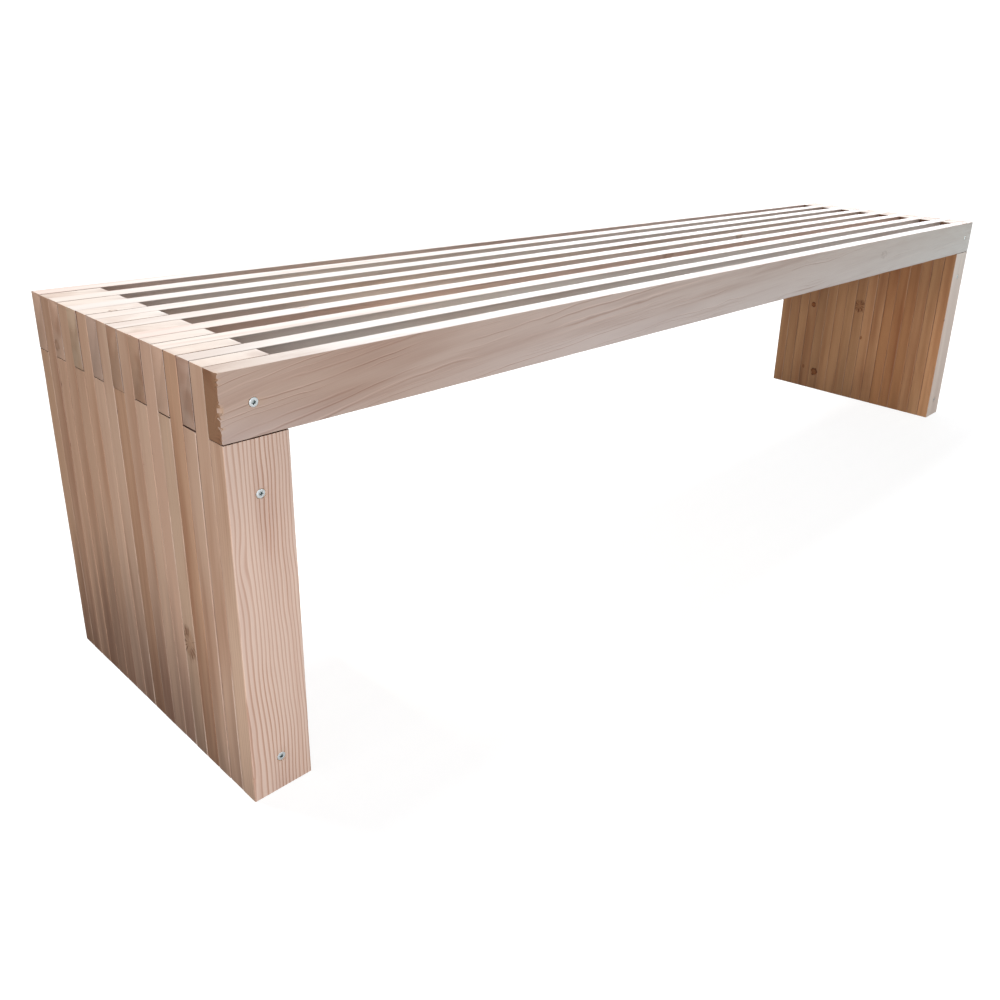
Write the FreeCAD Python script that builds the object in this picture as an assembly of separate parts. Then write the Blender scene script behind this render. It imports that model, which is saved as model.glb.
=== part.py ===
"""Slatted garden bench: seat slats on edge, interleaved at both ends with upright leg planks.

Frame: origin on the floor under the middle of the seat, +X along the seat, +Y to the back, +Z up.
All lengths are in millimetres.
"""
import FreeCAD, Part

import math
import os

from FreeCAD import Vector

# Overall sizes
SEAT_LENGTH = 1800.0
SEAT_HEIGHT = 450.0

# Seat slats, with a short leg of the same thickness under each end
SLAT_COUNT = 9
SLAT_THICKNESS = 24.0
SLAT_HEIGHT = 65.0

# Leg planks, the tall ones filling the gaps between the slats at both ends
LEG_WIDTH = 65.0
TALL_LEG_THICKNESS = 24.0

# Planed edges along the grain
EDGE_RADIUS = 1.5
EDGE_LIMIT_SHARE = 0.4

# Countersunk screws that fasten the front slat and the front short legs
SHANK_DIAMETER = 4.5
HEAD_FLARE = 2.25
HEAD_SINK = 0.5
SCREW_CLEARANCE = 0.1
SCREW_BITE_SHARE = 0.85
PILOT_DEPTH_SHARE = 0.9
POINT_LENGTH_SHARE = 1.5
UPPER_SCREW_DROP = 55.0
LOWER_SCREW_RISE = 38.0

# Six-pointed drive recess in the screw heads, as shares of the head's radius and flare
RECESS_POINTS = 6
RECESS_POINT_SHARE = 0.46
RECESS_VALLEY_SHARE = 0.32
RECESS_DEPTH_SHARE = 0.8

X_AXIS = Vector(1, 0, 0)
Y_AXIS = Vector(0, 1, 0)
Z_AXIS = Vector(0, 0, 1)
FULL_TURN = 360.0

# Places that follow from the sizes above
TALL_LEG_COUNT = SLAT_COUNT - 1
LAYER_PITCH = SLAT_THICKNESS + TALL_LEG_THICKNESS
SEAT_DEPTH = TALL_LEG_COUNT * LAYER_PITCH + SLAT_THICKNESS
FRONT_FACE = -SEAT_DEPTH / 2
SHORT_LEG_HEIGHT = SEAT_HEIGHT - SLAT_HEIGHT
SHANK_RADIUS = SHANK_DIAMETER / 2
HEAD_RADIUS = SHANK_RADIUS + HEAD_FLARE


def slat_front(index):
    """Front face of a slat layer, counted from 0 at the front of the seat."""
    return FRONT_FACE + index * LAYER_PITCH


def tall_leg_front(index):
    """Front face of a tall leg layer, right behind the slat layer of the same index."""
    return slat_front(index) + SLAT_THICKNESS


def eased_plank(corner, size, grain):
    """A plank with its four edges along the grain eased, from its lowest corner."""
    plank = Part.makeBox(size.x, size.y, size.z, corner)
    long_edges = [edge for edge in plank.Edges if round(abs(edge.tangentAt(edge.FirstParameter).dot(grain)))]
    radius = min(EDGE_RADIUS, EDGE_LIMIT_SHARE * size.y)
    return plank.makeFillet(radius, long_edges)


def turned(profile, place):
    """A solid turned round a screw's axis from points of radius and depth, entering at place."""
    points = [place + X_AXIS * radius + Y_AXIS * depth for radius, depth in profile]
    outline = Part.makePolygon(points + points[:1])
    return Part.Face(outline).revolve(place, Y_AXIS, FULL_TURN)


def screw_depths():
    """Depths of the head's top, the shank's start, the point's start and the tip behind the front face."""
    tip = SLAT_THICKNESS + SCREW_BITE_SHARE * TALL_LEG_THICKNESS
    return HEAD_SINK, HEAD_SINK + HEAD_FLARE, tip - POINT_LENGTH_SHARE * SHANK_DIAMETER, tip


def star_recess(place, head_top):
    """Star-shaped pocket with straight walls in a screw head."""
    corners = []
    for step in range(2 * RECESS_POINTS):
        share = RECESS_VALLEY_SHARE if step % 2 else RECESS_POINT_SHARE
        turn = math.pi * step / RECESS_POINTS
        ray = X_AXIS * math.cos(turn) + Z_AXIS * math.sin(turn)
        corners.append(place + Y_AXIS * head_top + ray * (share * HEAD_RADIUS))
    outline = Part.makePolygon(corners + corners[:1])
    return Part.Face(outline).extrude(Y_AXIS * (RECESS_DEPTH_SHARE * HEAD_FLARE))


def screw(place):
    """A countersunk screw driven towards the back, its head just under the front face at place."""
    head_top, shank_start, point_start, tip = screw_depths()
    profile = [(0, head_top), (HEAD_RADIUS, head_top), (SHANK_RADIUS, shank_start),
               (SHANK_RADIUS, point_start), (0, tip)]
    return turned(profile, place).cut(star_recess(place, head_top))


def clearance_hole(place):
    """Countersunk hole through a front plank for a screw entering at place."""
    hole_radius = SHANK_RADIUS + SCREW_CLEARANCE
    flare = HEAD_FLARE + HEAD_SINK
    profile = [(0, 0), (hole_radius + flare, 0), (hole_radius, flare),
               (hole_radius, SLAT_THICKNESS), (0, SLAT_THICKNESS)]
    return turned(profile, place)


def pilot_hole(place):
    """Blind hole in the tall leg behind, on the axis of a screw entering at place."""
    hole_radius = SHANK_RADIUS + SCREW_CLEARANCE
    mouth = place + Y_AXIS * SLAT_THICKNESS
    return Part.makeCylinder(hole_radius, PILOT_DEPTH_SHARE * TALL_LEG_THICKNESS, mouth, Y_AXIS)


def leg_corner_x(side):
    """Lowest x of the leg planks at the left end (side -1) or the right end (side 1)."""
    return min(side * SEAT_LENGTH / 2, side * (SEAT_LENGTH / 2 - LEG_WIDTH))


def slat_screw_place(side):
    """Where the front slat's screw enters, in the middle of its seat on the leg planks."""
    return Vector(leg_corner_x(side) + LEG_WIDTH / 2, FRONT_FACE, SHORT_LEG_HEIGHT + SLAT_HEIGHT / 2)


def leg_screw_places(side):
    """Where the front short leg's two screws enter, upper one first."""
    middle = leg_corner_x(side) + LEG_WIDTH / 2
    heights = (SHORT_LEG_HEIGHT - UPPER_SCREW_DROP, LOWER_SCREW_RISE)
    return [Vector(middle, FRONT_FACE, height) for height in heights]


def seat_slat(index):
    """One full-length slat on edge; the front one has a screw hole at each end."""
    corner = Vector(-SEAT_LENGTH / 2, slat_front(index), SHORT_LEG_HEIGHT)
    slat = eased_plank(corner, Vector(SEAT_LENGTH, SLAT_THICKNESS, SLAT_HEIGHT), X_AXIS)
    if index == 0:
        slat = slat.cut([clearance_hole(slat_screw_place(side)) for side in (-1, 1)])
    return slat


def short_leg(side, index):
    """One leg plank under a slat's end; the front one has two screw holes."""
    corner = Vector(leg_corner_x(side), slat_front(index), 0)
    leg = eased_plank(corner, Vector(LEG_WIDTH, SLAT_THICKNESS, SHORT_LEG_HEIGHT), Z_AXIS)
    if index == 0:
        leg = leg.cut([clearance_hole(place) for place in leg_screw_places(side)])
    return leg


def tall_leg(side, index):
    """One leg plank in the gap between two slats; the front one takes the screws' points."""
    corner = Vector(leg_corner_x(side), tall_leg_front(index), 0)
    leg = eased_plank(corner, Vector(LEG_WIDTH, TALL_LEG_THICKNESS, SEAT_HEIGHT), Z_AXIS)
    if index == 0:
        places = [slat_screw_place(side)] + leg_screw_places(side)
        leg = leg.cut([pilot_hole(place) for place in places])
    return leg


def front_screws(side):
    """The three screws seen on the front of one end."""
    places = [slat_screw_place(side)] + leg_screw_places(side)
    return Part.makeCompound([screw(place) for place in places])


def bench_parts():
    """Every piece of the bench by its name, numbered from the front."""
    parts = {}
    for index in range(SLAT_COUNT):
        parts[f"seat_slat_{index + 1}"] = seat_slat(index)
    for end, side in (("left", -1), ("right", 1)):
        for index in range(TALL_LEG_COUNT):
            parts[f"{end}_tall_leg_{index + 1}"] = tall_leg(side, index)
        for index in range(SLAT_COUNT):
            parts[f"{end}_short_leg_{index + 1}"] = short_leg(side, index)
        parts[f"{end}_front_screws"] = front_screws(side)
    return parts


os.makedirs("parts", exist_ok=True)
for name, shape in bench_parts().items():
    shape.exportStep(f"parts/{name}.step")
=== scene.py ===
"""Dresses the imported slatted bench: planks with grown grain, zinc screws, a pale floor, light and camera."""

import math
import random
from typing import NamedTuple

import bmesh
import bpy
from bpy.props import FloatProperty, FloatVectorProperty, IntProperty, PointerProperty
from mathutils import Euler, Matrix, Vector, noise


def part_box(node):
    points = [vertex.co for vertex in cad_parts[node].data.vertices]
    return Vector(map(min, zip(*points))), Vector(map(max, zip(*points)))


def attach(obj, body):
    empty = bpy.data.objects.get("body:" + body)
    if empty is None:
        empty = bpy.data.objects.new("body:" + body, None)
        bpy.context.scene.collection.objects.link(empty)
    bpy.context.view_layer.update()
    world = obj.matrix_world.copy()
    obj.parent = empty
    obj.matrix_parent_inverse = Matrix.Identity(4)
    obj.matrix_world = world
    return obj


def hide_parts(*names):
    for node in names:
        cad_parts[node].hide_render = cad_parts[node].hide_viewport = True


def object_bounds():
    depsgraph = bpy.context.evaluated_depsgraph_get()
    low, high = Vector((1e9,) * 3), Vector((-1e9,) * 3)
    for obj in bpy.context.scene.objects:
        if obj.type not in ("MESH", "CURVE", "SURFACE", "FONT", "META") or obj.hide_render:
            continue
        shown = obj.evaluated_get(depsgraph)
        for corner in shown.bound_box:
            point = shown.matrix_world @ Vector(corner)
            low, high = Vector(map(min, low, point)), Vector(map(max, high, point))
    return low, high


bl_info = {
    "name": "Slatted Bench",
    "version": (1, 0, 0),
    "blender": (4, 5, 0),
    "location": "3D View > Sidebar > Bench",
    "description": "Dresses a bench of interleaved slats and upright planks, and sets up its studio",
    "category": "Object",
}

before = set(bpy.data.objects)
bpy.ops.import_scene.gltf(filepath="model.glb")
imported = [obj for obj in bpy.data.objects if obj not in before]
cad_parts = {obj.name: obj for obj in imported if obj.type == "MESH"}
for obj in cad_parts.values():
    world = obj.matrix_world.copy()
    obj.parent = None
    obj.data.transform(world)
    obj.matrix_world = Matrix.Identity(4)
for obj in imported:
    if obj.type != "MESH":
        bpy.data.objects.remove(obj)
CAD_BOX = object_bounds()

# Axes of the frame
X, Y, Z = 0, 1, 2

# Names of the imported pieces
SLAT_COUNT = sum(1 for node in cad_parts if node.startswith("seat_slat_"))
ENDS = ("left", "right")
SLAT_NODES = [f"seat_slat_{i + 1}" for i in range(SLAT_COUNT)]
TALL_NODES = [f"{end}_tall_leg_{i + 1}" for end in ENDS for i in range(SLAT_COUNT - 1)]
SHORT_NODES = [f"{end}_short_leg_{i + 1}" for end in ENDS for i in range(SLAT_COUNT)]
SCREW_NODES = [f"{end}_front_screws" for end in ENDS]
FRONT_SLAT = SLAT_NODES[0]

# Sizes read from the frame, and how far the middle screw lies under the slat, in metres
SLAT_LOW, SLAT_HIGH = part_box(FRONT_SLAT)
LEG_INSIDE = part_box(TALL_NODES[-1])[0].x
SCREW_LOW, SCREW_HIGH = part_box(SCREW_NODES[0])
HEAD_RADIUS = (SCREW_HIGH.x - SCREW_LOW.x) / 2
HEAD_SINK = SCREW_LOW.y - SLAT_LOW.y
SCREW_LENGTH = SCREW_HIGH.y - SCREW_LOW.y
UPPER_SCREW_DROP = 0.055
SCREW_HEIGHTS = (SCREW_HIGH.z - HEAD_RADIUS, SLAT_LOW.z - UPPER_SCREW_DROP, SCREW_LOW.z + HEAD_RADIUS)

# Camera as fitted to the photograph's edges: metres, degrees and millimetres, and shares of the picture
CAMERA_PLACE = (-1.2507, -0.9007, 0.6835)
CAMERA_TURN = (69.963, -2.519, -48.075)
CAMERA_LENS = 32.7
CAMERA_SENSOR = 36.0
CAMERA_SHIFT_SHARES = (-0.068, -0.0766)

# Points of a plank's cross-section: sides of its corners, and shares of the faces between them
CORNER_SIDES = ((-1, -1), (1, -1), (1, 1), (-1, 1))
CORNER_STEPS = 3
WIDE_FACE_SHARES = (0.05, 0.2, 0.4, 0.6, 0.8, 0.95)
NARROW_FACE_SHARES = (0.13, 0.5, 0.87)
TORN_FACE_STEPS = 60
LEAST_STATIONS = 6

# Uneven rounding of the long edges: waves per metre, steps between corners, and shares of the usual radius
EDGE_WAVES = 21.0
EDGE_APART = 7.7
EDGE_MEAN_SHARE = 0.85
EDGE_SWING_SHARE = 0.75
EDGE_LEAST_SHARE = 0.25

# Dents in the edges: width and depth in metres, then places as shares of the width and of the plank
NICK_WIDTH = 0.0028
NICK_DEPTHS = (0.0005, 0.0018)
NICK_STATION_SHARES = (-1.6, -0.8, 0.0, 0.8, 1.6)
NICK_PLACE_SHARES = (0.03, 0.97)

# Splintered left edge of the front slat: metres, then waves per metre, seeds and shares of the depth
TEAR_REACH = 0.0040
TEAR_DEPTH = 0.0034
TEAR_STATIONS = (0.0008, 0.0016, 0.0028, 0.0050)
TEAR_SLOW_WAVES, TEAR_QUICK_WAVES = 90.0, 420.0
TEAR_SLOW_SEED, TEAR_QUICK_SEED = 3.1, 9.4
TEAR_MEAN_SHARE, TEAR_SLOW_SHARE, TEAR_QUICK_SHARE = 0.2, 0.9, 1.4
TEAR_SLANT_SHARE = 0.3

# How the saw and the plane differ from plank to plank, as shares of the usual gap and setback
SEAT_GAP_SHARES = (0.4, 1.8)
NARROWER_SHARES = (0.25, 1.0)

# How far apart two planks, two holes and two logs may lie in the noise
PLANK_SEEDS, HOLE_SEEDS, LOG_SEEDS = 90.0, 50.0, 60.0

# Screw outlines, as shares of the head's radius
STAR_POINTS = 6
SCREW_SIDES = 48
STAR_SHARE, STAR_LOBE_SHARE = 0.42, 0.09
STAR_FLOOR_SHARE, STAR_WALL_SHARE, STAR_MOUTH_SHARE = 0.86, 0.96, 1.06
FACE_SHARE, RIM_SHARE, SHANK_SHARE, TIP_SHARE = 0.84, 0.95, 0.5, 0.04
RIM_DROP_SHARE, EDGE_DROP_SHARE = 0.02, 0.07
RECESS_DEPTH_SHARE, RECESS_BEVEL_SHARE = 0.45, 0.12
HEAD_DEPTH_SHARE = 0.55
POINT_SHARE = 1.5

# Screw holes: shares of the shank and of the hole's radius, waves round the hole, and how crushed its rim is
HOLE_ROOM_SHARE = 1.08
RAGGED_MOUTH_SHARE, RAGGED_RIM_SHARE = 0.16, 0.12
RAGGED_WAVES = 2.4
CRUSHED_SHARE = 0.35

# Edges sharper than this stay sharp, in degrees
WOOD_CREASE, ZINC_CREASE = 40.0, 35.0

# How far wear reaches from an edge, and how far the foot of the log flares along the front slat, in metres
WEAR_REACH = 0.003
FLARE_REACH = 0.15

# Waves of the grain per metre: across the plank, through it and along it
RING_SWEEPS = (9.0, 9.0, 1.7)
RING_BENDS = (12.0, 12.0, 6.0)
RING_FLUTTER = (80.0, 80.0, 14.0)
LINE_FADES = (42.0, 42.0, 6.0)
PORE_WAVES = (1500.0, 1500.0, 30.0)
STREAK_WAVES = (75.0, 75.0, 2.2)
THREAD_WAVES = (300.0, 300.0, 2.0)
PATCH_WAVES = (24.0, 24.0, 3.0)
WEAR_WAVES = (12.0, 12.0, 9.0)
FOOT_SHADE_WAVES = (70.0, 70.0, 4.0)

# Waves per metre in the frame, on sawn ends and on the zinc
SAW_WAVES = (500.0, 40.0, 900.0)
BLOTCH_WAVES = (900.0, 900.0, 900.0)
SCRATCH_WAVES = (700.0, 700.0, 5200.0)

# Detail of the noise
COARSE_DETAIL, USUAL_DETAIL, FINE_DETAIL = 1.0, 2.0, 3.0

# Rings: shares of the waviness and of a year, and what sharpness adds to the start and end of the late wood
SWEEP_SHARE = 2.0
SPREAD_WAVES, SPREAD_SHARE = 0.31, 2.4
LATE_FROM_SHARE, LATE_FROM_SHARP_SHARE = 0.22, 0.45
LATE_TO_SHARE, LATE_TO_SHARP_SHARE = 0.72, 0.14
LATE_STOP_SHARES = (0.88, 1.0)
PALE_STOP_SHARES = (0.0, 0.14)
LUCK_SHARE, LINE_FADE_SHARE = 0.6, 0.9

# How plain the rings are on a plank's narrow faces, as a share of those on its wide faces
NARROW_LINE_SHARE = 0.35

# Levels of noise at which a mark begins and is full
LINE_FADE_LEVELS = (0.42, 0.58)
STREAK_LEVELS = (0.45, 0.75)
THREAD_LEVELS = (0.66, 0.80)
PATCH_LEVELS = (0.46, 0.72)
WEAR_LEVELS = (0.35, 0.60)
GRIME_LEVELS = (0.40, 0.60)
PORE_LEVELS = (0.3, 0.7)
ROUGH_LEVELS = (0.2, 0.8)
BLOTCH_LEVELS = (0.35, 0.7)
DULL_LEVELS = (0.3, 0.7)

# How near an edge wear and grime begin and are full, as shares of the reach
WEAR_EDGE_SHARES = (0.25, 0.80)
GRIME_EDGE_SHARES = (0.45, 0.95)

# How squarely a face looks along an axis where an effect begins and is full
SAWN_FACING = (0.75, 0.90)
UP_FACING = (0.60, 0.95)
FRONT_FACING = (-0.95, -0.60)
INNER_SHADE_FACING = (-0.60, -0.28)
JOINT_FACING = (0.80, 0.97)

# Knots: waves per radius and round the knot, then levels, and shares of the radius
KNOT_SEEDS = (37.0, 37.0, 37.0)
KNOT_WAVES, KNOT_SWING_SHARE = (1.5, 1.5, 1.5), 0.9
KNOT_HEART_SHARES = (0.80, 1.05)
KNOT_RIPPLES, KNOT_RIPPLE_SHARE = 13.0, 0.22
RIM_WAVES, RIM_LEVELS = (0.9, 0.9, 0.9), (0.38, 0.50)
RIM_RISE_SHARES, RIM_FALL_SHARES = (0.70, 0.92), (0.98, 1.20)
CRACK_WAVES, CRACK_LEVELS = (2.3, 2.3, 2.3), (0.015, 0.06)
CRACK_RISE_SHARES, CRACK_FALL_SHARES = (0.15, 0.50), (0.80, 1.35)
PULL_SHARE = 2.2

# How plainly streaks, threads, pale wood and pores show in the colour, as shares
STREAK_SHARE, THREAD_SHARE, PALE_SHARE = 0.42, 0.14, 0.32
PORE_SHARES = (0.97, 1.02)

# Roughness, gloss and relief of the wood, the relief's depth in metres
WOOD_ROUGHNESS, END_ROUGHNESS = (0.68, 0.50), 0.85
WOOD_SPECULAR = 0.4
PORE_RELIEF, RIM_RELIEF, SAW_RELIEF = 0.15, 2.0, 0.6
WOOD_BUMP, WOOD_BUMP_DEPTH = 0.6, 0.0004

# Roughness, metal and relief of the zinc, the relief's depth in metres
ZINC_ROUGHNESS, RECESS_ROUGHNESS = (0.40, 0.55), 0.3
ZINC_METALLIC = 0.35
ZINC_BUMP, ZINC_BUMP_DEPTH = 0.3, 0.0001

# Painted shade on the feet near the floor: how high it climbs and how deep in the stack it is darkest, in
# metres, then shares of that height
FOOT_SHADE_RISE = 0.19
FOOT_SHADE_CENTRE = 0.04
FOOT_SHADE_MOST_SHARE = 1.45
FOOT_SHADE_FALLOFF_SHARE = 14.0
FOOT_SHADE_FADE_SHARE = 1.5
FOOT_SHADE_SWING_SHARE = 1.3
FOOT_SHADE_SHARES = {"seat": 0.0, "left": 1.0, "right": 0.52}

# Dark joints: how far from the outside and from the seat they reach, in metres, then shares of the most
JOINT_INSETS = (0.004, 0.003)
JOINT_FADE_HEIGHT = 0.2
SEAT_JOINT_REACHES = (0.0025, 0.0035)
JOINT_LOW_SHARE = 0.35
JOINT_RIGHT_SHARE = 0.4
JOINT_TOP_SHARE = 0.5
# Painted shade on the tall legs at the ends of the seat gaps
GAP_END_SHADE_SHARE = 0.6

# Where tops are sun-bleached and take painted highlight, where fronts take painted sheen, and where the front
# slat's lower left corner takes painted bounce light: metres, then shares
TOP_BLEACH_AND_HIGHLIGHT_REACHES = (0.70, 0.92)
FRONT_SHEEN_REACHES = (-0.85, -0.35)
CORNER_BOUNCE_TO = -0.62
CORNER_BOUNCE_HEIGHT = 0.036
TOP_BLEACH_AND_HIGHLIGHT_END_SHARE = 0.32
FRONT_LIGHT_UPPER_SHARE = 0.5
CORNER_BOUNCE_SHARE = 0.6

# Where the front slat's rings get faint towards the right, in metres, and what is left of them
FAINT_REACHES = (0.0, 0.6)
FAINT_SHARE = 0.4

# Heights from which faces under the seat get painted shade, in metres, and the share of that on fronts
SEAT_SHADE_FROM, FRONT_SEAT_SHADE_FROM = 0.17, 0.26
FRONT_SEAT_SHADE_SHARE = 0.4


class Timber(NamedTuple):
    """How one plank was cut from its log: lengths in metres, leans as slopes, then shares."""

    heart_across: float
    heart_through: float
    ring_width: float
    lean_across: float
    lean_through: float
    waviness: float
    unevenness: float
    contrast: float
    sharpness: float
    flare: float = 0.0


class Knot(NamedTuple):
    """A cut branch: centre and radius in metres, then shares for its heart, rim, cracks and length."""

    place: tuple
    radius: float
    heart: float
    rim: float
    cracks: float = 0.3
    stretch: float = 0.4


class SoftBox(NamedTuple):
    """A soft light: its place, what it faces, its size, and the settings that hold its power and colour."""

    name: str
    place: tuple
    target: tuple
    size: tuple
    power: str
    colour: str


# Tints that lie over the usual wood, as shares of its red, green and blue
TONE_SHARES = {
    "cream": (1.06, 1.35, 1.66),
    "pale": (1.10, 1.35, 1.60),
    "pink": (1.08, 1.18, 1.36),
    "rose": (0.78, 0.84, 0.89),
    "blush": (1.10, 1.13, 1.11),
    # Painted sheen, which makes a front nearly white
    "painted_sheen": (1.30, 1.31, 1.28),
    "red": (0.90, 0.80, 0.69),
    "tan": (1.00, 0.99, 0.96),
    "rosy": (1.02, 0.97, 0.94),
    "olive": (0.98, 1.00, 0.96),
    "brown": (0.93, 0.87, 0.80),
    "bark": (0.88, 0.80, 0.70),
    # Painted shade, deeper towards the back of the right leg stack
    "mild_painted_shade": (0.86, 0.86, 0.83),
    "deep_painted_shade": (0.72, 0.71, 0.68),
    "end_leg": (1.00, 1.19, 1.37),
    "end_plain": (0.94, 0.91, 0.89),
    "end_dark": (0.48, 0.37, 0.27),
    "end_brown": (0.74, 0.68, 0.62),
    "end_grey": (0.80, 0.81, 0.84),
    "end_olive": (0.87, 0.91, 0.86),
}

# Tones of the planks in each group, from the front layer to the back one
TONES = {
    "seat_slat": ("rose", "cream", "pale", "pink", "cream", "pale", "cream", "pale", "pink"),
    "left_tall_leg": ("tan", "red", "rosy", "tan", "tan", "brown", "brown", "brown"),
    "left_short_leg": ("blush", "tan", "olive", "tan", "red", "tan", "brown", "brown", "bark"),
    # The right legs take painted shade towards the back
    "right_tall_leg": ("blush", "red", "red", "tan", "mild_painted_shade", "mild_painted_shade", "deep_painted_shade", "deep_painted_shade"),
    "right_short_leg": ("painted_sheen", "tan", "red", "tan", "mild_painted_shade", "mild_painted_shade", "deep_painted_shade", "deep_painted_shade", "deep_painted_shade"),
}
SLAT_END_TONES = (
    "end_dark", "end_grey", "end_plain", "end_brown", "end_brown", "end_grey", "end_olive", "end_plain",
    "end_plain")

# How much lighter or darker a plank is than others of its tone, as shares
TONE_LIFT_SHARES = (0.95, 1.05)

# How worn the long edges are, as shares of the most
WEAR_SHARES = {"seat": 0.5, "left": 0.5, "right": 0.2}
CHOSEN_WEAR_SHARES = {
    "left_tall_leg_1": 0.9, "left_short_leg_2": 0.7, "left_short_leg_3": 0.5, "left_tall_leg_3": 0.6}

# How bleached tops are, partly as painted highlight, then how much painted sheen and bounce light lie on the
# fronts of the slats, from front to back, and of two legs, as shares
SLAT_TOP_SHARES, LEG_TOP_SHARES = (0.7, 0.9), (0.6, 1.0)
SLAT_FRONT_LIGHT_SHARES = (0.34, 1.3, 1.2, 0.25, 0.15, 0.25, 0.6, 0.7, 0.7)
LEG_FRONT_LIGHT_SHARES = {"left_short_leg_1": 0.2, "right_short_leg_1": 0.36}

# How dusty the screws are, as shares of the most
SCREW_DUST_SHARES = {"left": 0.0, "right": 0.85}

# Ranges for the cut of the other planks, in the order that they are drawn in
HEART_REACHES = (0.03, 0.14)
TIMBER_RANGES = {
    "ring_width": (0.0030, 0.0062),
    "lean_across": (-0.012, 0.012),
    "lean_through": (-0.02, 0.02),
    "waviness": (0.002, 0.006),
    "unevenness": (0.6, 1.1),
    "contrast": (0.08, 0.34),
    "sharpness": (0.1, 0.8),
}

# Planks whose cut shows plainly in the photograph
CHOSEN_TIMBER = {
    FRONT_SLAT: Timber(
        heart_across=0.30, heart_through=0.03, ring_width=0.0066, lean_across=-0.05, lean_through=0.0,
        waviness=0.020, unevenness=1.0, contrast=0.70, sharpness=1.3, flare=0.03),
    "left_short_leg_1": Timber(
        heart_across=0.062, heart_through=0.050, ring_width=0.0034, lean_across=0.004, lean_through=0.004,
        waviness=0.011, unevenness=0.3, contrast=0.85, sharpness=0.45),
    "right_short_leg_1": Timber(
        heart_across=0.150, heart_through=0.030, ring_width=0.0040, lean_across=0.002, lean_through=0.004,
        waviness=0.003, unevenness=0.5, contrast=0.2, sharpness=0.4),
}

# Ends that lie further back, planks that sit looser, and wider dark joints under the slats, in metres
CHOSEN_SETBACKS = {"seat_slat_2": 0.0006, "seat_slat_6": 0.0005}
CHOSEN_GAPS = {FRONT_SLAT: 0.0004, "seat_slat_2": 0.0009, "seat_slat_3": 0.0006, "seat_slat_6": 0.0005}
CHOSEN_SEAT_GAPS = {"left_short_leg_2": 0.0011, "left_short_leg_3": 0.0012, "left_short_leg_4": 0.0010}

# Knots that show in the photograph
CHOSEN_KNOTS = {
    FRONT_SLAT: [Knot((0.437, -0.204, 0.421), 0.007, 0.0, 0.2)],
    "left_short_leg_1": [Knot((-0.892, -0.204, 0.262), 0.0032, 0.0, 0.0, 0.0, 0.75)],
    "seat_slat_4": [Knot((-0.714, -0.038, 0.450), 0.006, 0.25, 0.2),
                    Knot((-0.060, -0.060, 0.446), 0.008, 0.30, 0.3)],
    "seat_slat_5": [Knot((0.229, -0.011, 0.450), 0.007, 0.45, 0.4)],
    "seat_slat_8": [Knot((0.094, 0.139, 0.450), 0.007, 0.40, 0.4),
                    Knot((-0.900, 0.150, 0.399), 0.006, 0.30, 0.4)],
    "left_tall_leg_6": [Knot((-0.871, 0.062, 0.450), 0.004, 0.20, 0.6)],
    "left_short_leg_3": [Knot((-0.900, -0.094, 0.1345), 0.014, 0.35, 0.1, 0.7, 0.25)],
    "right_short_leg_5": [Knot((0.835, 0.000, 0.231), 0.012, 0.3, 0.3, 0.9, 0.15)],
    "right_tall_leg_4": [Knot((0.835, -0.0154, 0.155), 0.0024, 0.95, 0.5)],
    "right_tall_leg_7": [Knot((0.835, 0.119, 0.2126), 0.0052, 1.0, 1.0, 0.3, 0.1),
                         Knot((0.835, 0.124, 0.052), 0.003, 0.60, 0.2)],
    "right_short_leg_7": [Knot((0.835, 0.0935, 0.0434), 0.0085, 1.0, 0.9, 0.3, 0.0)],
    "right_short_leg_1": [Knot((0.835, -0.204, 0.234), 0.0018, 0.90, 0.5)],
}
NO_KNOT = Knot((0.0, 0.0, -50.0), 0.001, 0.0, 0.0)
KNOTS_PER_PLANK = 2
KNOT_MEASURES = ("radius", "heart", "rim", "cracks", "stretch")

# Soft lights round the bench, and the broad light overhead in degrees
SOFT_BOXES = (
    SoftBox("front_box", (-1.5, -2.7, 0.25), (-0.6, 0.0, 0.23), (2.2, 0.4), "front_power", "front_colour"),
    SoftBox("right_box", (2.5, -1.7, 0.24), (0.4, -0.2, 0.30), (2.4, 0.42), "right_power", "blue_colour"),
    SoftBox("back_box", (3.2, 1.7, 0.95), (0.3, 0.0, 0.45), (2.8, 1.1), "back_power", "cool_colour"),
    SoftBox("side_box", (-2.3, -0.30, 0.24), (-0.9, -0.02, 0.20), (0.7, 0.4), "side_power", "warm_colour"),
    SoftBox("under_box", (-0.7, 0.0, 0.20), (0.9, 0.0, 0.20), (0.3, 0.25), "under_power", "amber_colour"),
)
OVERHEAD_SPREAD = 22.0
OVERHEAD_TURN = (-24.0, -1.0, 0.0)
WHITE = (1.0, 1.0, 1.0, 1.0)


class PlankProperties(bpy.types.PropertyGroup):
    """Sizes that the saw, the plane and the sander leave on a plank."""

    edge_radius: FloatProperty(
        name="Edge radius", description="Usual rounding of a plank's long edges",
        default=0.0010, min=0.0, unit="LENGTH", subtype="DISTANCE")
    end_bevel: FloatProperty(
        name="End bevel", description="Small chamfer round a sawn end",
        default=0.00015, min=0.0, unit="LENGTH", subtype="DISTANCE")
    end_setback: FloatProperty(
        name="End setback", description="Most that a plank's end lies back from its neighbours",
        default=0.0004, min=0.0, unit="LENGTH", subtype="DISTANCE")
    seat_gap: FloatProperty(
        name="Seat gap", description="Dark joint left between a slat and the short leg under it",
        default=0.0005, min=0.0, unit="LENGTH", subtype="DISTANCE")
    joint_gap: FloatProperty(
        name="Joint gap", description="Most that a plank is planed thinner than its layer, on each face",
        default=0.0005, min=0.0, unit="LENGTH", subtype="DISTANCE")
    station_step: FloatProperty(
        name="Station step", description="Length of plank between two cross-sections",
        default=0.012, min=0.002, unit="LENGTH", subtype="DISTANCE")
    nick_count: IntProperty(
        name="Nicks", description="Dents along the edges of each plank", default=3, min=0)


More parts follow.
